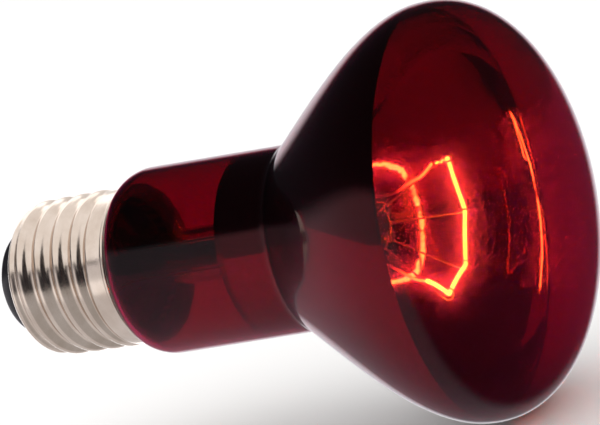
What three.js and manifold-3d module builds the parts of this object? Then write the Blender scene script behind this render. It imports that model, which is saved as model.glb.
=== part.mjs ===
// A red infrared reflector heat lamp with a screw cap.
//
// The lamp's axis is world +X. The tip of the centre contact is at the origin, and the domed face is at
// the far end. Every piece is built about the local +Y axis, and the lamp's group turns +Y onto +X.
// "Along" is the distance from the contact tip, and a radius is measured from the axis. The stem, its
// wires and the filament lie in the mount's group, which is turned about the axis: the two wires lie on
// its X axis, and the middle of the filament's horseshoe points along its Z axis. All sizes are in
// millimetres.

import * as THREE from "three";
import { mergeVertices } from "three/addons/utils/BufferGeometryUtils.js";
import Module from "manifold-3d";

// Screw cap, 27 mm size.
const CAP_HEIGHT = 26.85; // contact tip to the rim of the shell
const SHELL_FRONT = 6.4; // contact tip to the shell's turned-in edge
const SHELL_MOUTH = 10.2; // radius of that edge
const SHELL_NOSE = 3.2; // length of the rounded nose behind it
const SHELL_WALL = 0.3;
const THREAD_CREST = 13.15;
const THREAD_PITCH = 3.629;
const THREAD_ROUND = 1.025; // radius of crests and roots, which are equal arcs
const THREAD_ANGLE = 73; // degrees, where a crest meets the shell's front edge
const THREAD_LEAD_IN = [1.0, 3.0]; // from the shell's front
const THREAD_RUN_OUT = [4.85, 3.25]; // from the rim
const SKIRT_STEP = 0.15; // the plain skirt's drop below the crests
const LIP_STEP = 0.4; // the rim's bead above the skirt
const LIP_LENGTH = 0.5;
const CONTACT_GAP = 0.05; // between faces that touch
const TIP_HEIGHT = 0.95; // solder on the centre contact
const TIP_FLAT = 1.0;
const TIP_RADIUS = 2.3;
const PLATE_THICKNESS = 0.65;
const PLATE_RADIUS = 4.9;
const FUSE_HOLE = 0.7;
const INSULATOR_NOSE = 5.5; // radius of its front edge
const INSULATOR_BACK = 9.6; // contact tip to its back face
const MOUTH_CLEARANCE = 0.25;

// Glass envelope. Lengths run from the cap's rim towards the face.
const RIM_GAP = 0.15;
const RIM_CLEARANCE = 0.2;
const WIRE_SPACE = 0.75; // between the sealed neck and the thread's roots
const SEAL_DEPTH = 7.85; // how far the neck reaches into the cap
const THROAT_LENGTH = 1.8;
const SHOULDER_LENGTH = 4.1;
const NECK_FOOT_RADIUS = 15.3;
const NECK_TOP_RADIUS = 14.8;
const NECK_LENGTH = 30;
const CREASE_LENGTH = 0.9; // rounding on either side of the neck's end
const BOWL_SLOPE = 0.82; // radius gained per length where the bowl leaves the neck
const BOWL_RADIUS = 31.75;
const BOWL_LENGTH = 27;
const BOWL_PULLS = [11.75, 6.5]; // lengths of the curve's two handles
const DOME_LENGTH = 16.8;
const DOME_POWER = 2.25; // 2 is an ellipse, and more holds the dome's side straighter
const GLASS_WALL = 0.8;
const FILM_GAP = 0.05;
const FILM_THICKNESS = 0.15; // stands for the vapour-deposited mirror
const FILM_IN_NECK = 8.6; // how far the mirror reaches down the neck
const FILM_OVER_RIM = 0.5;

// Stem and mount.
const MOUNT_TURN = -120; // degrees about the axis
const SEAL_GAP = 0.1;
const STEM_RADIUS = 4.5;
const STEM_WALL = 0.9;
const FLARE_LENGTH = 7;
const STEM_LENGTH = 27; // neck's sealed end to the press
const PRESS_LENGTH = 11;
const PRESS_WIDTH = 1.15; // the pinch widens the tube across the wires
const PRESS_FLATNESS = 0.48; // and flattens it the other way
const PRESS_RAMP = 2.5;
const WIRE_SPREAD = 2.6; // wires' distance from the axis in the press
const WIRE_HOLE = 0.42;
const INNER_WIRE = 0.3;
const SEAL_WIRE = 0.22;
const OUTER_WIRE = 0.2;
const FUSE_WIRE = 0.12;
const FUSE_OFFSET = 4.2;
const FUSE_BORE = 0.4;
const FUSE_SLEEVE = 0.8;
const EXHAUST_RADIUS = 2.0;
const EXHAUST_BORE = 1.2;
const EXHAUST_CLEARANCE = 1.4;
const FIT = 0.15; // round a wire in its clearance hole
const ARBOR_RADIUS = 1.5;
const BUTTON_RADIUS = 3.6;
const BUTTON_HALF = 1.9;
const FOCUS_DEPTH = 5.3; // filament's plane, from the bowl's widest circle
const SUPPORT_RISE = 9.4; // button to the filament's plane
const SUPPORT_WIRE = 0.15;
const SUPPORT_DEPTH = 1.1; // held in the button
const SUPPORT_ANGLES = [64, 20, -24, -68]; // degrees from the mount's Z axis, which the horseshoe surrounds
const PIGTAIL_RADIUS = 0.9;
const PIGTAIL_PITCH = 0.8;
const FILAMENT_RING = 12.0;
const UPPER_END = { radius: 8.6, degrees: 86 }; // the filament's two ends
const LOWER_END = { radius: 11.3, degrees: -106 };
const FILAMENT_RADIUS = 0.35;
const WIRE_END_GAP = 0.5;

const ROUND = 30; // facets round the cap and the large glass pieces, which nest facet to facet
const SMALL_ROUND = 16;
const THREAD_SAMPLES = 6; // rows of vertices per pitch

// Places that follow from the sizes.
const threadDepth = 2 * (THREAD_ROUND - Math.sqrt(THREAD_ROUND ** 2 - (THREAD_PITCH / 4) ** 2));
const shellInside = THREAD_CREST - threadDepth - SHELL_WALL;
const skirtRadius = THREAD_CREST - SKIRT_STEP;
const lipRadius = skirtRadius + LIP_STEP;
const threadStart = SHELL_FRONT + SHELL_NOSE;
const skirtStart = CAP_HEIGHT - THREAD_RUN_OUT[1];
const plateFront = TIP_HEIGHT + CONTACT_GAP;
const insulatorFront = plateFront + PLATE_THICKNESS + CONTACT_GAP;
const glassStart = CAP_HEIGHT + RIM_GAP;
const neckEnd = CAP_HEIGHT - SEAL_DEPTH;
const neckEndRadius = shellInside - WIRE_SPACE;
const shoulderRadius = lipRadius - SHELL_WALL - RIM_CLEARANCE;
const crease = glassStart + NECK_LENGTH;
const bowlRim = crease + BOWL_LENGTH;
const pressStart = neckEnd + STEM_LENGTH;
const pressTop = pressStart + PRESS_LENGTH;
const filamentPlane = bowlRim - FOCUS_DEPTH;
const buttonAlong = filamentPlane - SUPPORT_RISE;
const stemBore = STEM_RADIUS - STEM_WALL;
const besideExhaust = (EXHAUST_RADIUS + stemBore) / 2;
const mountTurn = THREE.MathUtils.degToRad(MOUNT_TURN);

const finish = (color, roughness, metalness, extra = {}) =>
  new THREE.MeshStandardMaterial({ color, roughness, metalness, ...extra });
const rubyGlass = finish(0x5a0612, 0.05, 0, { transparent: true, opacity: 0.6 });
const clearGlass = finish(0xdfe6e4, 0.05, 0, { transparent: true, opacity: 0.4 });
const mirror = finish(0xd8d8da, 0.1, 1);
const nickel = finish(0xc9bfb2, 0.25, 1);
const brass = finish(0xb89a5a, 0.35, 1);
const solder = finish(0x9a9a98, 0.4, 1);
const blackGlass = finish(0x0b0a0c, 0.15, 0);
const cement = finish(0xb9b3a6, 0.9, 0);
const copper = finish(0xa8603a, 0.35, 1);
const molybdenum = finish(0x7c7a78, 0.4, 1);
const glowing = finish(0xffb030, 0.6, 0, { emissive: 0xff8a10 });

const point = (radius, along) => new THREE.Vector2(radius, along);
const at = (x, along, z = 0) => new THREE.Vector3(x, along, z);

// Points on an elliptical arc, by its centre, its two reaches, and angles in degrees from the outward
// direction.
function arc(radius, along, outReach, alongReach, from, to, steps) {
  return Array.from({ length: steps + 1 }, (_, i) => {
    const angle = THREE.MathUtils.degToRad(from + ((to - from) * i) / steps);
    return point(radius + outReach * Math.cos(angle), along + alongReach * Math.sin(angle));
  });
}

// One outline from several stretches, without the doubled points where they meet.
function join(...stretches) {
  return stretches.flat().filter((p, i, all) => i === 0 || p.distanceTo(all[i - 1]) > 0.01);
}

// An outline moved inwards by a distance. An outline that ends on the axis still ends there.
function inset(outline, distance) {
  return outline.map((p, i) => {
    const before = outline[i - 1] ?? p;
    const after = outline[i + 1] ?? (p.x < 0.01 ? point(-before.x, before.y) : p);
    const run = after.clone().sub(before).normalize();
    return point(p.x < 0.01 ? 0 : p.x - run.y * distance, p.y + run.x * distance);
  });
}

// The stretch of an outline between two distances along the axis, cut cleanly at both.
function stretch(outline, from, to) {
  const cut = (along) => {
    const next = outline.findIndex((p) => p.y > along);
    const [a, b] = [outline[next - 1], outline[next]];
    return a.clone().lerp(b, (along - a.y) / (b.y - a.y));
  };
  return join([cut(from)], outline.filter((p) => p.y > from && p.y < to), [cut(to)]);
}

const lathe = (outline, facets) => new THREE.LatheGeometry(outline, facets);

// A ring: an outer outline, back along an inner one, closed on itself.
function ring(outer, inner, facets) {
  return lathe([...inner.slice().reverse(), ...outer, inner[inner.length - 1]], facets);
}

const sleeve = (outside, inside, from, to, facets) =>
  ring([point(outside, from), point(outside, to)], [point(inside, from), point(inside, to)], facets);

// A round wire through a list of points.
function wire(points, radius, steps, sides = 8) {
  const section = Array.from({ length: sides }, (_, i) => {
    const angle = (2 * Math.PI * i) / sides;
    return point(radius * Math.cos(angle), radius * Math.sin(angle));
  });
  const extrudePath =
    points.length > 2 ? new THREE.CatmullRomCurve3(points) : new THREE.LineCurve3(...points);
  return new THREE.ExtrudeGeometry(new THREE.Shape(section), { steps, bevelEnabled: false, extrudePath });
}

const wasm = await Module();
wasm.setup();

function solid(geometry) {
  const bare = new THREE.BufferGeometry().setAttribute("position", geometry.getAttribute("position").clone());
  bare.setIndex(geometry.index);
  const merged = mergeVertices(bare, 1e-4);
  const vertProperties = merged.attributes.position.array;
  const triVerts = new Uint32Array(merged.index.array);
  return new wasm.Manifold(new wasm.Mesh({ numProp: 3, vertProperties, triVerts }));
}

// A piece with other shapes cut out of it.
function cut(geometry, cutters) {
  const { numProp, numVert, vertProperties, triVerts } = cutters
    .reduce((rest, cutter) => rest.subtract(solid(cutter)), solid(geometry))
    .getMesh();
  const positions = new Float32Array(numVert * 3);
  for (let i = 0; i < numVert; i++) {
    positions.set(vertProperties.subarray(i * numProp, i * numProp + 3), i * 3);
  }
  const result = new THREE.BufferGeometry().setAttribute("position", new THREE.BufferAttribute(positions, 3));
  return result.setIndex(new THREE.BufferAttribute(triVerts, 1));
}

// The envelope's outer outline, from the sealed end of its neck to the middle of its face.
function envelopeOutline() {
  const throat = glassStart - THROAT_LENGTH;
  const neckFoot = glassStart + SHOULDER_LENGTH;
  const bowlStart = point(NECK_TOP_RADIUS + BOWL_SLOPE * CREASE_LENGTH, crease + CREASE_LENGTH);
  const creaseCurve = new THREE.QuadraticBezierCurve(
    point(NECK_TOP_RADIUS, crease - CREASE_LENGTH),
    point(NECK_TOP_RADIUS, crease),
    bowlStart,
  );
  const bowlCurve = new THREE.CubicBezierCurve(
    bowlStart,
    point(bowlStart.x + BOWL_SLOPE * BOWL_PULLS[0], bowlStart.y + BOWL_PULLS[0]),
    point(BOWL_RADIUS, bowlRim - BOWL_PULLS[1]),
    point(BOWL_RADIUS, bowlRim),
  );
  const domeSteps = 7;
  const dome = Array.from({ length: domeSteps + 1 }, (_, i) => {
    const angle = (Math.PI / 2) * (i / domeSteps);
    const rise = Math.sin(angle) ** (2 / DOME_POWER);
    return point(i === domeSteps ? 0 : BOWL_RADIUS * Math.cos(angle), bowlRim + DOME_LENGTH * rise);
  });
  return join(
    [point(neckEndRadius, neckEnd)],
    arc(shoulderRadius, throat, shoulderRadius - neckEndRadius, THROAT_LENGTH, 180, 90, 2),
    arc(shoulderRadius, neckFoot, NECK_FOOT_RADIUS - shoulderRadius, SHOULDER_LENGTH, -90, 0, 3),
    creaseCurve.getPoints(2),
    bowlCurve.getPoints(7),
    dome,
  );
}

// How deep the thread is cut below its crests, at a place on the shell.
function threadCut(along, angle) {
  const turned = (angle - THREE.MathUtils.degToRad(THREAD_ANGLE)) / (2 * Math.PI);
  const turns = (along - SHELL_FRONT) / THREAD_PITCH - turned;
  const fromCrest = Math.abs(turns - Math.round(turns)) * THREAD_PITCH;
  const fall = (offset) => THREAD_ROUND - Math.sqrt(THREAD_ROUND ** 2 - offset ** 2);
  const depth =
    fromCrest < THREAD_PITCH / 4 ? fall(fromCrest) : threadDepth - fall(THREAD_PITCH / 2 - fromCrest);
  const leadIn = THREE.MathUtils.smoothstep(along, ...THREAD_LEAD_IN.map((d) => SHELL_FRONT + d));
  const runOut = THREE.MathUtils.smoothstep(along, ...THREAD_RUN_OUT.map((d) => CAP_HEIGHT - d));
  return depth * leadIn * (1 - runOut);
}

// Thin sheet with a rolled thread: both faces of a plain turned shell follow the helix.
function screwShell() {
  const nose = arc(SHELL_MOUTH, threadStart, THREAD_CREST - SHELL_MOUTH, SHELL_NOSE, -90, 0, 4);
  const rows = Math.round(((skirtStart - threadStart) / THREAD_PITCH) * THREAD_SAMPLES);
  const threaded = Array.from({ length: rows }, (_, i) =>
    point(THREAD_CREST, threadStart + ((skirtStart - threadStart) * i) / rows),
  );
  const lipStart = CAP_HEIGHT - LIP_LENGTH;
  const skirt = [
    point(skirtRadius, skirtStart),
    point(skirtRadius, lipStart - LIP_LENGTH / 2),
    point(lipRadius, lipStart),
    point(lipRadius, CAP_HEIGHT),
  ];
  const outer = join(nose, threaded, skirt);
  const shell = ring(outer, inset(outer, SHELL_WALL), ROUND);
  const places = shell.getAttribute("position");
  for (let i = 0; i < places.count; i++) {
    const [x, along, z] = [places.getX(i), places.getY(i), places.getZ(i)];
    const radius = Math.hypot(x, z);
    const scale = (radius - threadCut(along, Math.atan2(x, z))) / radius;
    places.setXYZ(i, x * scale, along, z * scale);
  }
  const notch = new THREE.BoxGeometry(2.4, 2, 1.1);
  notch.translate(lipRadius, CAP_HEIGHT - LIP_LENGTH * 1.7 + 1, 0).rotateY(mountTurn);
  return cut(shell, [notch]);
}

function insulator() {
  const mouth = SHELL_MOUTH - MOUTH_CLEARANCE;
  const bulgeBack = SHELL_FRONT + 0.1;
  return ring(
    join(
      arc(INSULATOR_NOSE, bulgeBack, mouth - INSULATOR_NOSE, bulgeBack - insulatorFront, -90, 0, 5),
      [point(mouth, SHELL_FRONT + 0.9)],
      [point(mouth + 0.8, SHELL_FRONT + 2), point(mouth + 0.8, INSULATOR_BACK)],
    ),
    [point(FUSE_HOLE, insulatorFront), point(FUSE_HOLE, SHELL_FRONT), point(3, INSULATOR_BACK)],
    ROUND,
  );
}

const contactPlate = () =>
  ring(
    join(
      arc(PLATE_RADIUS - 0.3, plateFront + 0.3, 0.3, 0.3, -90, 0, 3),
      [point(PLATE_RADIUS, plateFront + PLATE_THICKNESS)],
    ),
    [point(FUSE_HOLE, plateFront), point(FUSE_HOLE, plateFront + PLATE_THICKNESS)],
    ROUND,
  );

function contactTip() {
  const rounding = arc(TIP_FLAT, TIP_HEIGHT, TIP_RADIUS - TIP_FLAT, TIP_HEIGHT, -90, 0, 4);
  return lathe([point(0, 0), ...rounding, point(0, TIP_HEIGHT)], SMALL_ROUND);
}

// The side wire's route: down the stem, round the neck's end, up beside the neck, and out through the rim's
// notch.
function sideRoute() {
  const beside = neckEndRadius + WIRE_SPACE / 2;
  const outside = skirtRadius + OUTER_WIRE + 0.2;
  return [
    at(WIRE_SPREAD, pressStart + 2.1),
    at(WIRE_SPREAD, neckEnd + 12),
    at(besideExhaust, neckEnd + 6),
    at(besideExhaust + 0.6, neckEnd + 2.5),
    at(WIRE_SPREAD + 3.4, neckEnd - 1.2),
    at(neckEndRadius - 1.6, neckEnd - 1.7),
    at(beside - 0.1, neckEnd - 0.9),
    at(beside, neckEnd + 1),
    at(beside, neckEnd + 4),
    at(beside + 0.4, neckEnd + 5.6),
    at(skirtRadius - SHELL_WALL - OUTER_WIRE - 0.3, CAP_HEIGHT - 0.9),
    at(skirtRadius - 0.4, CAP_HEIGHT - 0.4),
    at(outside - 0.1, CAP_HEIGHT - 0.35),
    at(outside, CAP_HEIGHT - 1.1),
  ];
}

function basingCement() {
  const outside = skirtRadius - SHELL_WALL - 2 * CONTACT_GAP;
  const inside = neckEndRadius + CONTACT_GAP;
  const ringOfCement = sleeve(outside, inside, skirtStart + 0.2, glassStart - THROAT_LENGTH, ROUND);
  const channel = wire(sideRoute(), OUTER_WIRE + FIT, 40, 6);
  return cut(ringOfCement, [channel.rotateY(mountTurn)]);
}

// Flared tube, fused to the neck's end, whose far end is pinched flat round the wires.
function stem() {
  const flareStart = neckEnd + 0.3;
  const rim = neckEndRadius - GLASS_WALL - SEAL_GAP;
  const flareEnd = flareStart + FLARE_LENGTH;
  const outer = join(
    [point(rim, flareStart)],
    arc(rim, flareEnd, STEM_RADIUS - rim, flareStart + STEM_WALL - flareEnd, 90, 0, 4),
    [0, PRESS_RAMP / 2, PRESS_RAMP].map((d) => point(STEM_RADIUS, pressStart + d)),
    arc(STEM_RADIUS - 1, pressTop - 1, 1, 1, 0, 90, 3),
    [point(0, pressTop)],
  );
  const inner = join(
    arc(rim - 0.2, flareEnd, stemBore - rim + 0.2, flareStart - flareEnd, 90, 0, 4),
    arc(stemBore - 1, pressStart - 1, 1, 1, 0, 90, 3),
    [point(0, pressStart)],
  );
  const tube = lathe([...inner.slice().reverse(), ...outer], SMALL_ROUND);
  const places = tube.getAttribute("position");
  for (let i = 0; i < places.count; i++) {
    const pinch = THREE.MathUtils.smoothstep(places.getY(i), pressStart, pressStart + PRESS_RAMP);
    places.setX(i, places.getX(i) * THREE.MathUtils.lerp(1, PRESS_WIDTH, pinch));
    places.setZ(i, places.getZ(i) * THREE.MathUtils.lerp(1, PRESS_FLATNESS, pinch));
  }
  const holes = [1, -1].map((side) =>
    wire([at(side * WIRE_SPREAD, pressStart - 2), at(side * WIRE_SPREAD, pressTop + 1)], WIRE_HOLE, 1),
  );
  return cut(tube, holes);
}

function exhaustTube() {
  const tip = INSULATOR_BACK + EXHAUST_CLEARANCE;
  const end = pressStart - 0.5;
  const wall = EXHAUST_RADIUS - EXHAUST_BORE;
  const outer = arc(0, tip + EXHAUST_RADIUS, EXHAUST_RADIUS, EXHAUST_RADIUS, -90, 0, 4);
  const inner = arc(0, tip + wall + EXHAUST_BORE, EXHAUST_BORE, EXHAUST_BORE, 0, -90, 3);
  outer[0].x = 0;
  inner[inner.length - 1].x = 0;
  return lathe([...outer, point(EXHAUST_RADIUS, end), point(EXHAUST_BORE, end), ...inner], 12);
}

const supportDirection = (degrees) => {
  const angle = THREE.MathUtils.degToRad(degrees);
  return (radius, along, aside = 0) =>
    at(
      radius * Math.sin(angle) + aside * Math.cos(angle),
      along,
      radius * Math.cos(angle) - aside * Math.sin(angle),
    );
};

// Glass rod with a button melted on its end, which grips the support wires.
function arbor() {
  const button = arc(0, buttonAlong, BUTTON_RADIUS, BUTTON_HALF, -57, 90, 6);
  button[button.length - 1].x = 0;
  const foot = pressTop + CONTACT_GAP;
  const neckOfButton = buttonAlong - BUTTON_HALF - 0.6;
  const rod = [point(0, foot), point(ARBOR_RADIUS, foot), point(ARBOR_RADIUS, neckOfButton)];
  const sockets = SUPPORT_ANGLES.map((degrees) => {
    const place = supportDirection(degrees);
    const depth = BUTTON_RADIUS - SUPPORT_DEPTH - FIT;
    const ends = [place(depth, buttonAlong), place(BUTTON_RADIUS + 1, buttonAlong)];
    return wire(ends, SUPPORT_WIRE + FIT, 1, 6);
  });
  return cut(lathe([...rod, ...button], SMALL_ROUND), sockets);
}

// A wire from the button to the filament, which it holds in one open turn.
function support(degrees) {
  const place = supportDirection(degrees);
  const bend = BUTTON_RADIUS + 0.6;
  const slope = Math.atan2(SUPPORT_RISE, FILAMENT_RING - bend);
  const reach = Math.hypot(SUPPORT_RISE, FILAMENT_RING - bend);
  const first = slope + Math.PI + Math.acos(PIGTAIL_RADIUS / reach);
  const steps = 8;
  const turn = Array.from({ length: steps + 1 }, (_, i) => {
    const angle = first + (1.85 * Math.PI * i) / steps;
    const aside = PIGTAIL_PITCH * (i / steps - 0.5);
    const radius = FILAMENT_RING + PIGTAIL_RADIUS * Math.cos(angle);
    return place(radius, filamentPlane + PIGTAIL_RADIUS * Math.sin(angle), aside);
  });
  const held = place(BUTTON_RADIUS - SUPPORT_DEPTH, buttonAlong);
  const leaving = [place(BUTTON_RADIUS + 0.1, buttonAlong), place(bend, buttonAlong + 0.4)];
  const halfway = turn[0].clone().lerp(leaving[1], 0.5);
  return wire([held, ...leaving, halfway, ...turn], SUPPORT_WIRE, 24, 6);
}

// A place at an end of the filament, or behind it.
const filamentEnd = ({ radius, degrees }, back = 0) =>
  supportDirection(degrees)(radius, filamentPlane - back);

// A horseshoe of coiled wire, straight between its supports. The coil is solid here.
function filament() {
  const corners = SUPPORT_ANGLES.map((degrees) => supportDirection(degrees)(FILAMENT_RING, filamentPlane));
  const points = [filamentEnd(UPPER_END), ...corners, filamentEnd(LOWER_END)];
  const route = new THREE.CurvePath();
  for (let i = 1; i < points.length; i++) {
    route.add(new THREE.LineCurve3(points[i - 1], points[i]));
  }
  return wire(route.getSpacedPoints(25), FILAMENT_RADIUS, 25, 6);
}

function sideSolder() {
  const bead = arc(0, 0, 0.85, 0.55, 0, 90, 3);
  bead[bead.length - 1].x = 0;
  const blob = lathe([point(0, 0), ...bead], 12);
  return blob.rotateZ(-Math.PI / 2).translate(skirtRadius + CONTACT_GAP, CAP_HEIGHT - 2.3, 0);
}

const lamp = new THREE.Group();
lamp.rotation.z = -Math.PI / 2;
const mount = new THREE.Group();
mount.rotation.y = mountTurn;
lamp.add(mount);

function part(name, geometry, material, parent = lamp) {
  const mesh = new THREE.Mesh(geometry, material.clone());
  mesh.name = name;
  parent.add(mesh);
}

// Cap.
part("screw_shell", screwShell(), nickel);
part("cap_insulator", insulator(), blackGlass);
part("contact_plate", contactPlate(), brass);
part("centre_solder", contactTip(), solder);
part("basing_cement", basingCement(), cement);
part("side_solder", sideSolder(), solder, mount);

// Envelope and its mirror.
const glassOutline = envelopeOutline();
const glassInside = inset(glassOutline, GLASS_WALL).reverse();
part("glass_envelope", lathe([...glassInside, ...glassOutline], ROUND), rubyGlass);
const filmFaces = [0, FILM_THICKNESS].map((deeper) =>
  stretch(
    inset(glassOutline, GLASS_WALL + FILM_GAP + deeper),
    crease - FILM_IN_NECK,
    bowlRim + FILM_OVER_RIM,
  ),
);
part("reflector_coating", ring(...filmFaces, ROUND), mirror);

// Stem.
part("stem_flare", stem(), clearGlass, mount);
part("exhaust_tube", exhaustTube(), clearGlass, mount);
part("arbor_button", arbor(), clearGlass, mount);

// Wires, from the filament's ends to the two contacts.
const innerFoot = pressTop - 1.5;
const upperRoute = [
  at(WIRE_SPREAD, innerFoot),
  at(WIRE_SPREAD, pressTop + 0.5),
  at(WIRE_SPREAD + 1.9, buttonAlong - 3),
  at(BUTTON_RADIUS + 1.0, buttonAlong + 2),
  at(UPPER_END.radius - 2.8, filamentPlane - 4.4),
  at(UPPER_END.radius - 1.9, filamentPlane - 2),
  filamentEnd(UPPER_END, WIRE_END_GAP + FILAMENT_RADIUS),
];
const lowerRoute = [
  at(-WIRE_SPREAD, innerFoot),
  at(-WIRE_SPREAD, pressTop + 0.5),
  at(-WIRE_SPREAD - 2.4, buttonAlong - 6),
  at(-BUTTON_RADIUS - 3.2, buttonAlong + 1, -1),
  filamentEnd({ ...LOWER_END, radius: LOWER_END.radius - 0.7 }, 2.4),
  filamentEnd(LOWER_END, WIRE_END_GAP + FILAMENT_RADIUS),
];
part("lead_wire_upper", wire(upperRoute, INNER_WIRE, 18, 6), nickel, mount);
part("lead_wire_lower", wire(lowerRoute, INNER_WIRE, 14, 6), nickel, mount);
const outerTop = pressStart + 2.1;
for (const [name, side] of [["seal_wire_upper", 1], ["seal_wire_lower", -1]]) {
  const ends = [at(side * WIRE_SPREAD, outerTop + 0.1), at(side * WIRE_SPREAD, innerFoot - 0.1)];
  part(name, wire(ends, SEAL_WIRE, 1), copper, mount);
}
part("outer_wire_side", wire(sideRoute(), OUTER_WIRE, 40, 6), copper, mount);
const centreRoute = [
  at(-WIRE_SPREAD, outerTop),
  at(-WIRE_SPREAD, neckEnd + 11),
  at(-besideExhaust, neckEnd + 4),
  at(-FUSE_OFFSET, neckEnd + 0.4),
];
part("outer_wire_centre", wire(centreRoute, OUTER_WIRE, 12, 6), copper, mount);
const sleeveFoot = INSULATOR_BACK + 3;
const fuseRoute = [
  at(-FUSE_OFFSET, neckEnd + 0.2),
  at(-FUSE_OFFSET, (neckEnd + sleeveFoot) / 2),
  at(-FUSE_OFFSET, sleeveFoot),
  at(-FUSE_OFFSET / 2, INSULATOR_BACK + 0.3),
  at(0, SHELL_FRONT + 1),
  at(0, (SHELL_FRONT + plateFront) / 2),
  at(0, plateFront),
];
part("fuse_wire", wire(fuseRoute, FUSE_WIRE, 20, 6), copper, mount);
const fuseTube = sleeve(FUSE_SLEEVE, FUSE_BORE, sleeveFoot + 0.2, neckEnd - 1.2, 12);
part("fuse_sleeve", fuseTube.translate(-FUSE_OFFSET, 0, 0), clearGlass, mount);

// Filament and the wires that hold it.
part("filament", filament(), glowing, mount);
for (const [i, degrees] of SUPPORT_ANGLES.entries()) {
  part(`filament_support_${i + 1}`, support(degrees), molybdenum, mount);
}

export default lamp;
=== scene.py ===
"""The looks of a red infrared reflector heat lamp, lit, on a pale studio floor.

The lamp's axis is +X, from the tip of its centre contact at the origin to its domed face. Sizes below are in
millimetres, "along" is the distance from the contact tip, and a radius is measured from the axis. Meshes are made
in metres.
"""
import math

import bpy
from mathutils import Matrix, Vector, noise

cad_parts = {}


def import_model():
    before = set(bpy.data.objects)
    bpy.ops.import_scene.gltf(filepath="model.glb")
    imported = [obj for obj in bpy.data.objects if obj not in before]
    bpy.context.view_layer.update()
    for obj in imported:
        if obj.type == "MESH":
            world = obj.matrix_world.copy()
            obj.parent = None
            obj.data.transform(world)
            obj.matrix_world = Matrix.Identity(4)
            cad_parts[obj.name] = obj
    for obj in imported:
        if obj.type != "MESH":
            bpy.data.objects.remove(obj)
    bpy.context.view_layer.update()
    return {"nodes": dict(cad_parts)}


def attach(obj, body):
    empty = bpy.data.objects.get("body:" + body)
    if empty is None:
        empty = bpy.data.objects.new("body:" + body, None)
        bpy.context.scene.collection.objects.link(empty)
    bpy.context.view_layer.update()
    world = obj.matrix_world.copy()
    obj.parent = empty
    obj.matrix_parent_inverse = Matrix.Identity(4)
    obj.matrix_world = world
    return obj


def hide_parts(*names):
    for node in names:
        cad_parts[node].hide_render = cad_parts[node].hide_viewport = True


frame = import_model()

MM = 0.001

# Screw cap.
CAP_HEIGHT = 26.85
SHELL_FRONT = 6.4
SHELL_MOUTH = 10.2
SHELL_NOSE = 3.2
SHELL_WALL = 0.3
THREAD_CREST = 13.15
THREAD_PITCH = 3.629
THREAD_ROUND = 1.025
THREAD_ANGLE = 73
THREAD_LEAD_IN = (1.0, 3.0)
THREAD_RUN_OUT = (4.85, 3.25)
SKIRT_RADIUS = THREAD_CREST - 0.15
LIP_RADIUS = SKIRT_RADIUS + 0.4
LIP_START = CAP_HEIGHT - 0.5
THREAD_DEPTH = 2 * (THREAD_ROUND - math.sqrt(THREAD_ROUND**2 - (THREAD_PITCH / 4) ** 2))

# Glass.
GLASS_START = CAP_HEIGHT + 0.15
NECK_END = CAP_HEIGHT - 7.85
NECK_END_RADIUS = THREAD_CREST - THREAD_DEPTH - SHELL_WALL - 0.75
SHOULDER_RADIUS = LIP_RADIUS - SHELL_WALL - 0.2
THROAT = GLASS_START - 1.8
NECK_FOOT = GLASS_START + 4.1
NECK_FOOT_RADIUS = 15.3
NECK_TOP_RADIUS = 14.8
CREASE = GLASS_START + 30
CREASE_LENGTH = 0.9
BOWL_SLOPE = 0.82
BOWL_RADIUS = 31.75
BOWL_RIM = CREASE + 27
BOWL_PULLS = (11.75, 6.5)
DOME_LENGTH = 16.8
DOME_POWER = 2.25
GLASS_WALL = 0.8
FILM_START = CREASE - 8.6
FILM_END = BOWL_RIM + 0.5

# Stem and mount.
MOUNT_TURN = math.radians(-120)
STEM_RADIUS = 4.5
STEM_BORE = 3.6
PRESS_START = NECK_END + 27
PRESS_TOP = PRESS_START + 11
PRESS_RAMP = 2.5
WIRE_SPREAD = 2.6
FILAMENT_PLANE = BOWL_RIM - 5.3
BUTTON_ALONG = FILAMENT_PLANE - 9.4
BUTTON_RADIUS = 3.6
BUTTON_HALF = 1.9
FILAMENT_RING = 12.0
UPPER_END = (8.6, 86)  # radius and angle of the filament's ends
LOWER_END = (11.3, -106)
SUPPORT_ANGLES = (64, 20, -24, -68)
COIL_RADIUS = 0.35

# Studio, in metres.
FLOOR = -BOWL_RADIUS * MM - 0.0005
FLOOR_HALF = 25.0
BENCH_LIGHT = 0.26  # brightness of the pale bench, as the glass and the cap reflect it


# ---------------------------------------------------------------- outlines

def arc(radius, along, out_reach, along_reach, start, end, steps):
    """Points (along, radius) on an elliptical arc, angles in degrees from the outward direction."""
    points = []
    for i in range(steps + 1):
        angle = math.radians(start + (end - start) * i / steps)
        points.append((along + along_reach * math.sin(angle), radius + out_reach * math.cos(angle)))
    return points


def bezier(points, steps):
    """Points on the Bezier curve of any order through a list of (along, radius) handles."""
    result = []
    for i in range(steps + 1):
        t = i / steps
        level = list(points)
        while len(level) > 1:
            level = [tuple(a + (b - a) * t for a, b in zip(p, q)) for p, q in zip(level, level[1:])]
        result.append(level[0])
    return result


def joined(*stretches):
    """One outline from several stretches, without the doubled points where they meet."""
    result = []
    for p in (p for stretch in stretches for p in stretch):
        if not result or math.dist(p, result[-1]) > 1e-4:
            result.append(p)
    return result


def inset(outline, distance):
    """The outline moved inwards. An outline that ends on the axis still ends there."""
    result = []
    for i, (along, radius) in enumerate(outline):
        before = outline[i - 1] if i else outline[0]
        after = outline[i + 1] if i + 1 < len(outline) else (along, radius)
        if radius < 1e-6 and i:
            after = (before[0], -before[1])
        run = Vector((after[0] - before[0], after[1] - before[1])).normalized()
        moved = 0.0 if radius < 1e-6 else radius - run.x * distance
        result.append((along + run.y * distance, moved))
    return result


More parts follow.
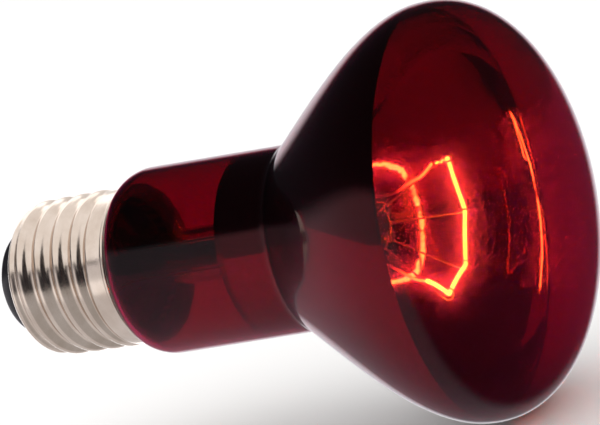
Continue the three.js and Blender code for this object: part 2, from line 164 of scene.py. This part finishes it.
def envelope_outline():
    """From the sealed end of the neck, inside the cap, to the middle of the face."""
    bowl_start = (CREASE + CREASE_LENGTH, NECK_TOP_RADIUS + BOWL_SLOPE * CREASE_LENGTH)
    dome_steps = 56
    dome = []
    for i in range(dome_steps + 1):
        angle = math.pi / 2 * i / dome_steps
        radius = 0.0 if i == dome_steps else BOWL_RADIUS * math.cos(angle)
        dome.append((BOWL_RIM + DOME_LENGTH * math.sin(angle) ** (2 / DOME_POWER), radius))
    return joined(
        [(NECK_END, NECK_END_RADIUS)],
        arc(SHOULDER_RADIUS, THROAT, SHOULDER_RADIUS - NECK_END_RADIUS, GLASS_START - THROAT, 180, 90, 10),
        arc(SHOULDER_RADIUS, NECK_FOOT, NECK_FOOT_RADIUS - SHOULDER_RADIUS, NECK_FOOT - GLASS_START, -90, 0, 20),
        bezier([(NECK_FOOT, NECK_FOOT_RADIUS), (CREASE - CREASE_LENGTH, NECK_TOP_RADIUS)], 16),
        bezier([(CREASE - CREASE_LENGTH, NECK_TOP_RADIUS), (CREASE, NECK_TOP_RADIUS), bowl_start], 10),
        bezier([
            bowl_start,
            (bowl_start[0] + BOWL_PULLS[0], bowl_start[1] + BOWL_SLOPE * BOWL_PULLS[0]),
            (BOWL_RIM - BOWL_PULLS[1], BOWL_RADIUS),
            (BOWL_RIM, BOWL_RADIUS),
        ], 48),
        dome,
    )


def between(outline, start, end):
    """The stretch of an outline between two places along the axis, cut at both."""
    def cut(place):
        for a, b in zip(outline, outline[1:]):
            if a[0] <= place < b[0]:
                t = (place - a[0]) / (b[0] - a[0])
                return (place, a[1] + (b[1] - a[1]) * t)
        raise ValueError("the outline doesn't reach that far")
    return joined([cut(start)], [p for p in outline if start < p[0] < end], [cut(end)])


# ---------------------------------------------------------------- meshes

def finish_piece(piece, material, replaced=()):
    """Material, smooth shading, and the piece's place in the frame."""
    piece.data.materials.append(material)
    piece.data.shade_smooth()
    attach(piece, "root")
    if replaced:
        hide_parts(*replaced)
    return piece


def mesh_piece(name, vertices, faces):
    data = bpy.data.meshes.new(name)
    data.from_pydata([tuple(c * MM for c in v) for v in vertices], [], faces)
    data.validate()
    data.update()
    piece = bpy.data.objects.new(name, data)
    bpy.context.collection.objects.link(piece)
    return piece


def revolve(name, outline, facets, closed=False, shape=None):
    """Turns an outline about the axis. shape may move a point, given (along, radius, angle).

    The angle runs as a right-hand thread's does about +X, from +Z.
    """
    vertices, rings = [], []
    for along, radius in outline:
        if radius < 1e-6:
            rings.append([len(vertices)])
            vertices.append((along, 0, 0))
            continue
        rings.append(list(range(len(vertices), len(vertices) + facets)))
        for k in range(facets):
            angle = 2 * math.pi * k / facets
            a, r = shape(along, radius, angle) if shape else (along, radius)
            vertices.append((a, -r * math.sin(angle), r * math.cos(angle)))
    pairs = list(zip(rings, rings[1:])) + ([(rings[-1], rings[0])] if closed else [])
    faces = []
    for low, high in pairs:
        for k in range(facets):
            n = (k + 1) % facets
            if len(low) == 1:
                faces.append((low[0], high[n], high[k]))
            elif len(high) == 1:
                faces.append((low[k], low[n], high[0]))
            else:
                faces.append((low[k], low[n], high[n], high[k]))
    return mesh_piece(name, vertices, faces)


def shell(name, outer, thickness, facets, shape=None):
    """A closed thin wall between an outline and its inset."""
    inner = inset(outer, thickness)
    if outer[-1][1] < 1e-6:
        return revolve(name, list(reversed(inner)) + outer, facets, shape=shape)
    return revolve(name, list(reversed(inner)) + outer, facets, closed=True, shape=shape)


def mount_point(x, along, z=0.0):
    """A point in the mount's own axes, as (x, y, z) in the lamp's frame."""
    turned_x = x * math.cos(MOUNT_TURN) + z * math.sin(MOUNT_TURN)
    turned_z = -x * math.sin(MOUNT_TURN) + z * math.cos(MOUNT_TURN)
    return Vector((along, -turned_x, turned_z))


def spline(points, per_span):
    """A smooth curve through points, evenly divided between each two."""
    padded = [points[0] * 2 - points[1]] + list(points) + [points[-1] * 2 - points[-2]]
    result = []
    for p0, p1, p2, p3 in zip(padded, padded[1:], padded[2:], padded[3:]):
        for i in range(per_span):
            t = i / per_span
            result.append(0.5 * (
                2 * p1 + (p2 - p0) * t + (2 * p0 - 5 * p1 + 4 * p2 - p3) * t**2
                + (3 * p1 - p0 - 3 * p2 + p3) * t**3))
    result.append(points[-1])
    return result


def frames_along(path):
    """A direction and two cross directions at each point, turning as little as it can."""
    side = None
    result = []
    for i, p in enumerate(path):
        run = (path[min(i + 1, len(path) - 1)] - path[max(i - 1, 0)]).normalized()
        if side is None:
            side = run.orthogonal().normalized()
        side = (side - run * side.dot(run)).normalized()
        result.append((p, side, run.cross(side)))
    return result


def tube(name, path, radius, sides=10, thickness=None):
    """A round wire along a path, with domed ends. thickness may vary the radius along it."""
    vertices, faces = [], []
    frames = frames_along(path)
    for i, (p, u, v) in enumerate(frames):
        r = radius * (thickness(i / (len(frames) - 1)) if thickness else 1)
        for k in range(sides):
            angle = 2 * math.pi * k / sides
            vertices.append(p + (u * math.cos(angle) + v * math.sin(angle)) * r)
    for i in range(len(frames) - 1):
        for k in range(sides):
            n = (k + 1) % sides
            faces.append((i * sides + k, i * sides + n, (i + 1) * sides + n, (i + 1) * sides + k))
    first = len(vertices)
    run = (path[0] - path[1]).normalized()
    vertices.append(path[0] + run * radius * 0.5)
    run = (path[-1] - path[-2]).normalized()
    vertices.append(path[-1] + run * radius * 0.5)
    last = (len(frames) - 1) * sides
    for k in range(sides):
        n = (k + 1) % sides
        faces.append((n, k, first))
        faces.append((last + k, last + n, first + 1))
    return mesh_piece(name, vertices, faces)


# ---------------------------------------------------------------- materials

class Shader:
    """A material with one Principled shader and short calls for its nodes."""

    def __init__(self, name, color, roughness, **sockets):
        self.material = bpy.data.materials.new(name)
        self.material.use_nodes = True
        self.nodes = self.material.node_tree.nodes
        self.links = self.material.node_tree.links
        self.principled = self.nodes["Principled BSDF"]
        self.set("Base Color", (*color, 1))
        self.set("Roughness", roughness)
        for socket, value in sockets.items():
            self.set(socket.replace("_", " "), value)

    def set(self, socket, value):
        self.principled.inputs[socket].default_value = value

    def noise(self, scale, detail=4.0, roughness=0.5, stretch=(1, 1, 1)):
        """Noise over the piece's own coordinates, in features per metre."""
        place = self.nodes.new("ShaderNodeTexCoord")
        mapping = self.nodes.new("ShaderNodeMapping")
        mapping.inputs["Scale"].default_value = stretch
        texture = self.nodes.new("ShaderNodeTexNoise")
        texture.inputs["Scale"].default_value = scale
        texture.inputs["Detail"].default_value = detail
        texture.inputs["Roughness"].default_value = roughness
        self.links.new(place.outputs["Object"], mapping.inputs["Vector"])
        self.links.new(mapping.outputs["Vector"], texture.inputs["Vector"])
        return texture.outputs["Fac"]

    def ramp(self, value, stops):
        """Colours or greys by a value; stops are (place, colour)."""
        node = self.nodes.new("ShaderNodeValToRGB")
        while len(node.color_ramp.elements) < len(stops):
            node.color_ramp.elements.new(0.5)
        for element, (place, color) in zip(node.color_ramp.elements, stops):
            element.position = place
            element.color = color if len(color) == 4 else (*color, 1)
        self.links.new(value, node.inputs["Fac"])
        return node.outputs["Color"]

    def range(self, value, low, high):
        """A value from 0 to 1 turned into one from low to high."""
        node = self.nodes.new("ShaderNodeMapRange")
        node.inputs["To Min"].default_value = low
        node.inputs["To Max"].default_value = high
        self.links.new(value, node.inputs["Value"])
        return node.outputs["Result"]

    def bump(self, height, strength, distance):
        node = self.nodes.new("ShaderNodeBump")
        node.inputs["Strength"].default_value = strength
        node.inputs["Distance"].default_value = distance
        self.links.new(height, node.inputs["Height"])
        self.links.new(node.outputs["Normal"], self.principled.inputs["Normal"])

    def drive(self, socket, output):
        self.links.new(output, self.principled.inputs[socket])


def ruby_glass():
    """Deep red glass, with fine dust that catches the filament's light."""
    s = Shader("ruby_glass", (0.36, 0.006, 0.03), 0.0, Transmission_Weight=1.0, IOR=1.5)
    dust = s.noise(14000, 0)
    s.drive("Base Color", s.ramp(dust, [(0.635, (0.36, 0.006, 0.03)), (0.665, (0.30, 0.0015, 0.50))]))
    s.drive("Roughness", s.ramp(dust, [(0.635, (0.0, 0.0, 0.0)), (0.665, (0.26, 0.26, 0.26))]))
    s.bump(s.noise(140, 2), 0.02, 0.0004)
    return s.material


def clear_glass(name="clear_glass"):
    s = Shader(name, (0.93, 0.96, 0.95), 0.0, Transmission_Weight=1.0, IOR=1.52)
    s.bump(s.noise(400, 3), 0.08, 0.0002)
    return s.material


def mirror_film():
    s = Shader("mirror_film", (0.86, 0.50, 0.78), 0.05, Metallic=1.0)
    s.drive("Roughness", s.range(s.noise(300, 5), 0.015, 0.05))
    s.bump(s.noise(220, 4), 0.09, 0.0003)
    return s.material


def nickel_plate():
    s = Shader("nickel_plate", (0.70, 0.58, 0.50), 0.2, Metallic=1.0)
    s.drive("Base Color", s.ramp(s.noise(220, 6), [(0.3, (0.60, 0.49, 0.41)), (0.7, (0.74, 0.63, 0.55))]))
    s.drive("Roughness", s.range(s.noise(900, 6), 0.12, 0.26))
    s.bump(s.noise(1500, 6, stretch=(4, 1, 1)), 0.06, 0.0001)
    return s.material


def black_glass():
    s = Shader("black_glass", (0.012, 0.011, 0.013), 0.12, Coat_Weight=0.6, Coat_Roughness=0.05)
    s.drive("Roughness", s.range(s.noise(700, 5), 0.1, 0.3))
    s.bump(s.noise(450, 5), 0.12, 0.0003)
    return s.material


def metal(name, color, roughness, grain=1200):
    s = Shader(name, color, roughness, Metallic=1.0)
    s.drive("Roughness", s.range(s.noise(grain, 5), roughness * 0.7, roughness * 1.3))
    darker = tuple(c * 0.8 for c in color)
    s.drive("Base Color", s.ramp(s.noise(grain / 3, 4), [(0.35, darker), (0.65, color)]))
    s.bump(s.noise(grain, 6), 0.1, 0.0001)
    return s.material


def mineral(name, color, grain):
    s = Shader(name, color, 0.85)
    darker = tuple(c * 0.65 for c in color)
    s.drive("Base Color", s.ramp(s.noise(grain, 8, 0.7), [(0.3, darker), (0.7, color)]))
    s.bump(s.noise(grain * 2, 8, 0.7), 0.5, 0.0003)
    return s.material


def glowing_tungsten():
    s = Shader("glowing_tungsten", (0.3, 0.28, 0.26), 0.5, Emission_Color=(0.22, 1.0, 0.02, 1))
    s.drive("Emission Strength", s.range(s.noise(120, 2), 300, 400))
    return s.material


def nickel_with_painted_glow():
    """Nickel wire with a painted glow where it comes close to the filament: emission stands in for the filament's
    light falling on the wire.
    """
    s = Shader("nickel_wire", (0.66, 0.64, 0.60), 0.3, Metallic=1.0, Emission_Color=(0.4, 0.75, 0.02, 1))
    s.drive("Roughness", s.range(s.noise(2500, 5), 0.2, 0.4))
    place = s.nodes.new("ShaderNodeSeparateXYZ")
    s.links.new(s.nodes.new("ShaderNodeTexCoord").outputs["Object"], place.inputs["Vector"])
    # painted glow: emission rising towards the filament's plane, in place of the filament's light on the wire
    painted_glow = s.nodes.new("ShaderNodeMapRange")
    painted_glow.interpolation_type = "SMOOTHSTEP"
    painted_glow.inputs["From Min"].default_value = (FILAMENT_PLANE - 7) * MM
    painted_glow.inputs["From Max"].default_value = FILAMENT_PLANE * MM
    painted_glow.inputs["To Max"].default_value = 130
    s.links.new(place.outputs["X"], painted_glow.inputs["Value"])
    s.drive("Emission Strength", painted_glow.outputs["Result"])
    return s.material


# ---------------------------------------------------------------- cap

def thread_cut(along, angle):
    """How deep the thread lies below its crests."""
    turns = (along - SHELL_FRONT) / THREAD_PITCH - (angle - math.radians(THREAD_ANGLE)) / (2 * math.pi)
    from_crest = abs(turns - round(turns)) * THREAD_PITCH

    def fall(offset):
        return THREAD_ROUND - math.sqrt(THREAD_ROUND**2 - offset**2)

    if from_crest < THREAD_PITCH / 4:
        depth = fall(from_crest)
    else:
        depth = THREAD_DEPTH - fall(THREAD_PITCH / 2 - from_crest)
    return depth * smooth(along, *(SHELL_FRONT + d for d in THREAD_LEAD_IN)) * (
        1 - smooth(along, *(CAP_HEIGHT - d for d in THREAD_RUN_OUT)))


def smooth(value, low, high):
    t = min(max((value - low) / (high - low), 0), 1)
    return t * t * (3 - 2 * t)


def screw_shell(material):
    thread_start = SHELL_FRONT + SHELL_NOSE
    skirt_start = CAP_HEIGHT - THREAD_RUN_OUT[1]
    outer = joined(
        arc(SHELL_MOUTH, thread_start, THREAD_CREST - SHELL_MOUTH, SHELL_NOSE, -90, 0, 24),
        bezier([(thread_start, THREAD_CREST), (skirt_start - 0.8, THREAD_CREST)], 84),
        bezier([(skirt_start - 0.8, THREAD_CREST), (skirt_start - 0.4, THREAD_CREST),
                (skirt_start - 0.4, SKIRT_RADIUS), (skirt_start, SKIRT_RADIUS)], 6),
        bezier([(skirt_start, SKIRT_RADIUS), (LIP_START - 0.35, SKIRT_RADIUS)], 8),
        bezier([(LIP_START - 0.35, SKIRT_RADIUS), (LIP_START - 0.1, SKIRT_RADIUS),
                (LIP_START - 0.1, LIP_RADIUS), (LIP_START + 0.15, LIP_RADIUS)], 6),
        arc(LIP_RADIUS - 0.1, CAP_HEIGHT - 0.1, 0.1, 0.1, 0, 90, 4),
    )

    def shape(along, radius, angle):
        return along, radius - thread_cut(along, angle)

    piece = shell("cap_screw_shell", outer, SHELL_WALL, 240, shape)
    return finish_piece(piece, material, ("screw_shell",))


def cap_insulator(material):
    mouth = SHELL_MOUTH - 0.25
    outer = joined(
        [(1.7, 0.7)],
        arc(5.5, SHELL_FRONT + 0.1, mouth - 5.5, SHELL_FRONT - 1.6, -90, 0, 30),
        [(SHELL_FRONT + 0.9, mouth), (SHELL_FRONT + 2, mouth + 0.8), (9.6, mouth + 0.8), (9.6, 3.0),
         (SHELL_FRONT, 0.7)],
    )

    def shape(along, radius, angle):
        ripple = 0.05 * noise.noise(Vector((along * 0.7, math.sin(angle) * 3, math.cos(angle) * 3)))
        return along, radius + (ripple if 2.2 < along < SHELL_FRONT else 0)

    piece = revolve("cap_black_glass", outer, 96, closed=True, shape=shape)
    return finish_piece(piece, material, ("cap_insulator",))


def centre_contact(plate_material, solder_material):
    plate = joined(
        [(1.0, 0.7)],
        bezier([(1.0, 0.7), (1.0, 2.6), (1.25, 3.0), (1.2, 3.8)], 10),
        arc(4.6, 1.3, 0.3, 0.25, -60, 0, 6),
        [(1.65, 4.9), (1.65, 0.7)],
    )
    piece = revolve("cap_contact_plate", plate, 96, closed=True)
    finish_piece(piece, plate_material, ("contact_plate",))

    def lumpy(along, radius, angle):
        swell = noise.noise(Vector((along * 1.5, math.sin(angle) * 1.6, math.cos(angle) * 1.6 + 4)))
        return along, radius * (1 + 0.07 * swell * (radius > 1.0))

    bead = joined([(0, 0)], [(0, 0.5)], arc(1.0, 0.95, 1.3, 0.95, -90, 0, 16), [(0.95, 0)])
    piece = revolve("cap_solder_tip", bead, 48, shape=lumpy)
    finish_piece(piece, solder_material, ("centre_solder",))


def side_contact(solder_material):
    """A lumpy bead on the skirt, where the side wire comes over the rim."""
    rings, sides = 9, 28
    vertices, faces = [], []
    for i in range(rings):
        fall = math.pi / 2 * i / (rings - 1)
        for k in range(sides):
            angle = 2 * math.pi * k / sides
            wander = 1 + 0.16 * noise.noise(Vector((math.cos(angle) * 1.3, math.sin(angle) * 1.3, 7)))
            across = 0.85 * math.sin(fall) * wander
            height = 0.04 + 0.5 * math.cos(fall)
            x = SKIRT_RADIUS + height
            along = CAP_HEIGHT - 2.3 + across * math.cos(angle)
            vertices.append(mount_point(x, along, across * 0.85 * math.sin(angle)))
    for i in range(rings - 1):
        for k in range(sides):
            n = (k + 1) % sides
            faces.append((i * sides + k, (i + 1) * sides + k, (i + 1) * sides + n, i * sides + n))
    faces.append(tuple(reversed(range((rings - 1) * sides, rings * sides))))
    piece = mesh_piece("cap_side_solder", vertices, faces)
    return finish_piece(piece, solder_material, ("side_solder",))


# ---------------------------------------------------------------- glass and mirror

def envelope(material):
    piece = shell("envelope_ruby_glass", envelope_outline(), GLASS_WALL, 288)
    return finish_piece(piece, material, ("glass_envelope",))


def mirror(material):
    face = between(inset(envelope_outline(), GLASS_WALL + 0.03), FILM_START, FILM_END)
    piece = shell("envelope_mirror_film", face, 0.05, 288)
    return finish_piece(piece, material, ("reflector_coating",))


# ---------------------------------------------------------------- stem and mount

def pinched(along, y, z):
    """The stem's round section turned into the press's flat one, in the mount's axes."""
    pinch = smooth(along, PRESS_START, PRESS_START + PRESS_RAMP)
    return y * (1 + 0.15 * pinch), z * (1 - 0.52 * pinch)


def stem(material):
    flare_start = NECK_END + 0.3
    flare_end = flare_start + 7
    rim = NECK_END_RADIUS - GLASS_WALL - 0.1
    outer = joined(
        [(flare_start, rim)],
        arc(rim, flare_end, STEM_RADIUS - rim, flare_start + 0.9 - flare_end, 90, 0, 20),
        bezier([(flare_end, STEM_RADIUS), (PRESS_START + PRESS_RAMP, STEM_RADIUS)], 24),
        bezier([(PRESS_START + PRESS_RAMP, STEM_RADIUS), (PRESS_TOP - 1.4, STEM_RADIUS)], 6),
        arc(STEM_RADIUS - 1.4, PRESS_TOP - 1.4, 1.4, 1.4, 0, 90, 8),
        [(PRESS_TOP, 0)],
    )
    inner = joined(
        arc(rim - 0.2, flare_end, STEM_BORE - rim + 0.2, flare_start - flare_end, 90, 0, 20),
        bezier([(flare_end, STEM_BORE), (PRESS_START - 1, STEM_BORE)], 20),
        arc(STEM_BORE - 1, PRESS_START - 1, 1, 1, 0, 90, 6),
        [(PRESS_START, 0)],
    )
    piece = revolve("stem_glass", list(reversed(inner)) + outer, 72)
    for v in piece.data.vertices:
        x, y, z = v.co / MM
        across, through = pinched(x, -y, z)
        v.co = mount_point(across, x, through) * MM
    return finish_piece(piece, material, ("stem_flare",))


def exhaust(material):
    tip = 11.0
    outer = joined(arc(0, tip + 2, 2, 2, -90, 0, 12), [(PRESS_START - 0.5, 2)])
    outer[0] = (outer[0][0], 0)
    inner = joined(arc(0, tip + 2, 1.2, 1.2, -90, 0, 8), [(PRESS_START - 0.5, 1.2)])
    inner[0] = (inner[0][0], 0)
    piece = revolve("stem_exhaust_tube", outer + list(reversed(inner)), 40)
    return finish_piece(piece, material, ("exhaust_tube",))


def arbor(material):
    button = arc(0, BUTTON_ALONG, BUTTON_RADIUS, BUTTON_HALF, -57, 90, 22)
    button[-1] = (button[-1][0], 0)
    rod = [(PRESS_TOP + 0.05, 0), (PRESS_TOP + 0.05, 1.5)]
    neck = bezier([(PRESS_TOP + 0.05, 1.5), (BUTTON_ALONG - 3.4, 1.4), (BUTTON_ALONG - 2.2, 1.35), button[0]], 18)

    def melted(along, radius, angle):
        swell = noise.noise(Vector((along * 0.8, math.sin(angle), math.cos(angle))))
        return along, radius * (1 + 0.05 * swell)

    piece = revolve("stem_arbor_button", joined(rod, neck, button), 48, shape=melted)
    return finish_piece(piece, material, ("arbor_button",))


def ring_point(radius, along, degrees, aside=0.0):
    """A point by its angle from the middle of the filament's horseshoe."""
    angle = math.radians(degrees)
    return mount_point(
        radius * math.sin(angle) + aside * math.cos(angle), along,
        radius * math.cos(angle) - aside * math.sin(angle))


def supports(material):
    loop = 0.9
    bend = BUTTON_RADIUS + 0.6
    rise = FILAMENT_PLANE - BUTTON_ALONG
    slope = math.atan2(rise, FILAMENT_RING - bend)
    reach = math.hypot(rise, FILAMENT_RING - bend)
    first = slope + math.pi + math.acos(loop / reach)
    for i, degrees in enumerate(SUPPORT_ANGLES):
        turn = []
        for k in range(13):
            angle = first + 1.85 * math.pi * k / 12
            radius = FILAMENT_RING + loop * math.cos(angle)
            turn.append(ring_point(radius, FILAMENT_PLANE + loop * math.sin(angle), degrees, 0.8 * (k / 12 - 0.5)))
        elbow = ring_point(bend, BUTTON_ALONG + 0.4, degrees)
        path = [ring_point(1.2, BUTTON_ALONG, degrees), ring_point(BUTTON_RADIUS + 0.1, BUTTON_ALONG, degrees),
                elbow, turn[0].lerp(elbow, 0.5), *turn]
        piece = tube(f"mount_support_{i + 1}", spline(path, 6), 0.15)
        finish_piece(piece, material, (f"filament_support_{i + 1}",))


def filament_corners():
    corners = [ring_point(FILAMENT_RING, FILAMENT_PLANE, degrees) for degrees in SUPPORT_ANGLES]
    return [ring_point(UPPER_END[0], FILAMENT_PLANE, UPPER_END[1]), *corners,
            ring_point(LOWER_END[0], FILAMENT_PLANE, LOWER_END[1])]


def filament(material):
    """A real coil, wound along the horseshoe."""
    corners = filament_corners()
    route = []
    for a, b in zip(corners, corners[1:]):
        steps = max(2, round((b - a).length / 0.4))
        sag = (b - a).cross(Vector((1, 0, 0))).normalized()
        for i in range(steps):
            t = i / steps
            route.append(a.lerp(b, t) + sag * 0.18 * math.sin(math.pi * t))
    route.append(corners[-1])
    frames = frames_along(route)
    lengths = [0.0]
    for a, b in zip(route, route[1:]):
        lengths.append(lengths[-1] + (b - a).length)
    pitch, per_turn, wire = 0.22, 10, 0.075
    tail = (corners[1] - corners[0]).length - 0.8
    turns = lengths[-1] / pitch
    path, at = [], 0
    for i in range(int(turns * per_turn) + 1):
        here = min(i / per_turn * pitch, lengths[-1])
        while at < len(lengths) - 2 and lengths[at + 1] < here:
            at += 1
        t = (here - lengths[at]) / (lengths[at + 1] - lengths[at])
        centre = frames[at][0].lerp(frames[at + 1][0], t)
        u, v = frames[at][1].lerp(frames[at + 1][1], t), frames[at][2].lerp(frames[at + 1][2], t)
        angle = 2 * math.pi * i / per_turn
        wound = 0.02 + (COIL_RADIUS - wire - 0.02) * smooth(here, tail, tail + 0.8)
        wave = v * 0.22 * math.sin(here * 3.4) * (1 - smooth(here, tail, tail + 0.8))
        path.append(centre + wave + (u * math.cos(angle) + v * math.sin(angle)) * wound)
    piece = tube("mount_filament_coil", path, wire, sides=5)
    return finish_piece(piece, material, ("filament",))


def inner_leads(material):
    foot = PRESS_TOP - 1.5
    upper = [
        mount_point(WIRE_SPREAD, foot), mount_point(WIRE_SPREAD, PRESS_TOP + 0.5),
        mount_point(WIRE_SPREAD + 1.9, BUTTON_ALONG - 3), mount_point(BUTTON_RADIUS + 1.0, BUTTON_ALONG + 2),
        mount_point(UPPER_END[0] - 2.8, FILAMENT_PLANE - 4.4), mount_point(UPPER_END[0] - 1.9, FILAMENT_PLANE - 2),
        ring_point(UPPER_END[0], FILAMENT_PLANE - 0.5, UPPER_END[1])]
    lower = [
        mount_point(-WIRE_SPREAD, foot), mount_point(-WIRE_SPREAD, PRESS_TOP + 0.5),
        mount_point(-WIRE_SPREAD - 2.4, BUTTON_ALONG - 6), mount_point(-BUTTON_RADIUS - 3.2, BUTTON_ALONG + 1, -1),
        ring_point(LOWER_END[0] - 0.7, FILAMENT_PLANE - 2.4, LOWER_END[1]),
        ring_point(LOWER_END[0], FILAMENT_PLANE - 0.5, LOWER_END[1])]
    for name, route in (("upper", upper), ("lower", lower)):
        piece = tube(f"mount_lead_{name}", spline(route, 10), 0.22, 12)
        finish_piece(piece, material, (f"lead_wire_{name}",))


# ---------------------------------------------------------------- studio

def floor(level):
    material = Shader("studio_floor", (0.82, 0.81, 0.80), 0.9)
    material.bump(material.noise(60, 3), 0.02, 0.001)
    size = FLOOR_HALF
    data = bpy.data.meshes.new("studio_floor")
    data.from_pydata([(-size, -size, level), (size, -size, level), (size, size, level), (-size, size, level)], [],
                     [(0, 1, 2, 3)])
    piece = bpy.data.objects.new("studio_floor", data)
    bpy.context.collection.objects.link(piece)
    data.materials.append(material.material)
    piece.visible_glossy = False


def camera():
    """Seen from the front left of the face, rolled so that the face is the higher end."""
    off_axis = math.radians(61.5)      # between the line of sight and the lamp's axis
    tilt = math.radians(9.73)          # of the axis in the picture, face up
    turn = math.radians(10)            # of the camera about the axis, above the level
    aim = Vector((-24.45, 8.16, 310.86)) * MM  # the cap's rim: right, down and ahead of the camera
    toward = Vector((0, -math.cos(turn), math.sin(turn)))
    up = Vector((0, math.sin(turn), math.cos(turn)))
    axis = Vector((1, 0, 0))
    back = axis * math.cos(off_axis) + toward * math.sin(off_axis)
    level = axis * math.sin(off_axis) - toward * math.cos(off_axis)
    right = level * math.cos(tilt) - up * math.sin(tilt)
    above = level * math.sin(tilt) + up * math.cos(tilt)
    rim = Vector((GLASS_START * MM, 0, 0))
    place = rim - right * aim.x + above * aim.y + back * aim.z
    data = bpy.data.cameras.new("camera")
    data.sensor_width = 36
    data.lens = 114
    data.clip_start = 0.01
    data.clip_end = 100
    piece = bpy.data.objects.new("camera", data)
    piece.matrix_world = Matrix.Translation(place) @ Matrix((right, above, back)).transposed().to_4x4()
    bpy.context.collection.objects.link(piece)
    bpy.context.scene.camera = piece


def world():
    """A dark studio with a pale bench towards the cap and a pale backdrop behind; white seen directly."""
    scene = bpy.context.scene
    scene.world = bpy.data.worlds.new("studio")
    scene.world.use_nodes = True
    nodes, links = scene.world.node_tree.nodes, scene.world.node_tree.links
    place = nodes.new("ShaderNodeTexCoord")

    def facing(direction, low, high):
        """From 0 to 1 as the view turns towards a direction, between two cosines."""
        dot = nodes.new("ShaderNodeVectorMath")
        dot.operation = "DOT_PRODUCT"
        dot.inputs[1].default_value = Vector(direction).normalized()
        links.new(place.outputs["Generated"], dot.inputs[0])
        step = nodes.new("ShaderNodeMapRange")
        step.interpolation_type = "SMOOTHSTEP"
        step.inputs["From Min"].default_value = low
        step.inputs["From Max"].default_value = high
        links.new(dot.outputs["Value"], step.inputs["Value"])
        return step.outputs["Result"]

    def combine(operation, a, b):
        node = nodes.new("ShaderNodeMath")
        node.operation = operation
        links.new(a, node.inputs[0])
        links.new(b, node.inputs[1])
        return node.outputs["Value"]

    below = facing((-0.152, -0.422, -0.894), -0.05, 0.09)
    bench = combine("MULTIPLY", below, facing((-1, 0, 0), -0.1, 0.15))
    backdrop = facing((-0.477, 0.865, -0.153), 0.88, 0.95)
    level = nodes.new("ShaderNodeMapRange")
    level.inputs["To Max"].default_value = BENCH_LIGHT
    links.new(bench, level.inputs["Value"])
    bright = combine("MAXIMUM", level.outputs["Result"], backdrop)
    mix = nodes.new("ShaderNodeMix")
    mix.data_type = "RGBA"
    mix.inputs["A"].default_value = (0.02, 0.018, 0.022, 1)
    mix.inputs["B"].default_value = (0.96, 0.93, 0.98, 1)
    links.new(bright, mix.inputs["Factor"])
    pale = nodes.new("ShaderNodeMix")  # seen directly, the studio is pale all round
    pale.data_type = "RGBA"
    pale.inputs["B"].default_value = (1.0, 0.99, 0.985, 1)
    links.new(nodes.new("ShaderNodeLightPath").outputs["Is Camera Ray"], pale.inputs["Factor"])
    links.new(mix.outputs["Result"], pale.inputs["A"])
    links.new(pale.outputs["Result"], nodes["Background"].inputs["Color"])


def sun(name, energy, angle, tip, roll):
    data = bpy.data.lights.new(name, "SUN")
    data.energy = energy
    data.angle = math.radians(angle)
    piece = bpy.data.objects.new(name, data)
    piece.rotation_euler = (math.radians(tip), math.radians(roll), 0)
    piece.visible_glossy = False
    piece.visible_transmission = False
    bpy.context.collection.objects.link(piece)


def softbox(name, place, facing, size, radiance, lit):
    """A square area light that lights only some pieces, out of the camera's sight."""
    data = bpy.data.lights.new(name, "AREA")
    data.size = size
    data.energy = radiance * math.pi * size**2
    piece = bpy.data.objects.new(name, data)
    piece.location = place
    piece.rotation_euler = Vector(facing).to_track_quat("-Z", "Y").to_euler()
    piece.visible_camera = False
    piece.visible_transmission = False
    bpy.context.collection.objects.link(piece)
    receivers = bpy.data.collections.new(name + "_receivers")
    for receiver in lit:
        receivers.objects.link(receiver)
    piece.light_linking.receiver_collection = receivers


# ---------------------------------------------------------------- the lamp

camera()
world()
sun("soft_overhead", 4.3, 160, 10, -10)
floor(FLOOR)
bpy.context.scene.view_settings.view_transform = "Standard"

nickel = nickel_plate()
clear = clear_glass()
solder = metal("dull_solder", (0.62, 0.62, 0.61), 0.4)
cap = [screw_shell(nickel)]
cap_insulator(black_glass())
centre_contact(metal("contact_brass", (0.74, 0.66, 0.52), 0.3), solder)
side_contact(solder)
envelope(ruby_glass())
mirror(mirror_film())
stem(clear)
exhaust(clear)
arbor(clear)
inner_leads(nickel_with_painted_glow())
supports(metal("molybdenum_wire", (0.55, 0.53, 0.51), 0.35, 2500))
filament(glowing_tungsten())

softbox("cap_top_light", (-0.1, -0.1, 0.5), (0, 0, -1), 1.7, 1.1, cap)
softbox("cap_back_light", (-0.3, 0.6, 0.2), (0.3, -1, 0), 1.3, 0.9, cap)
softbox("cap_bench_light", (0.1, -0.2, FLOOR + 0.0005), (0, 0, 1), 1.4, 0.46, cap)
softbox("cap_front_light", (-0.40, -0.55, -0.01), (0.5, 0.85, 0), 0.45, 0.5, cap)

kept = {
    "basing_cement": mineral("capping_cement", (0.62, 0.58, 0.52), 900),
    "seal_wire_upper": metal("copper_seal", (0.66, 0.36, 0.22), 0.35),
    "outer_wire_side": metal("outer_copper", (0.62, 0.38, 0.25), 0.35),
    "fuse_sleeve": clear_glass("sleeve_glass"),
}
kept["seal_wire_lower"] = kept["seal_wire_upper"]
kept["outer_wire_centre"] = kept["fuse_wire"] = kept["outer_wire_side"]
for node, material in kept.items():
    for slot in frame["nodes"][node].material_slots:
        slot.material = material
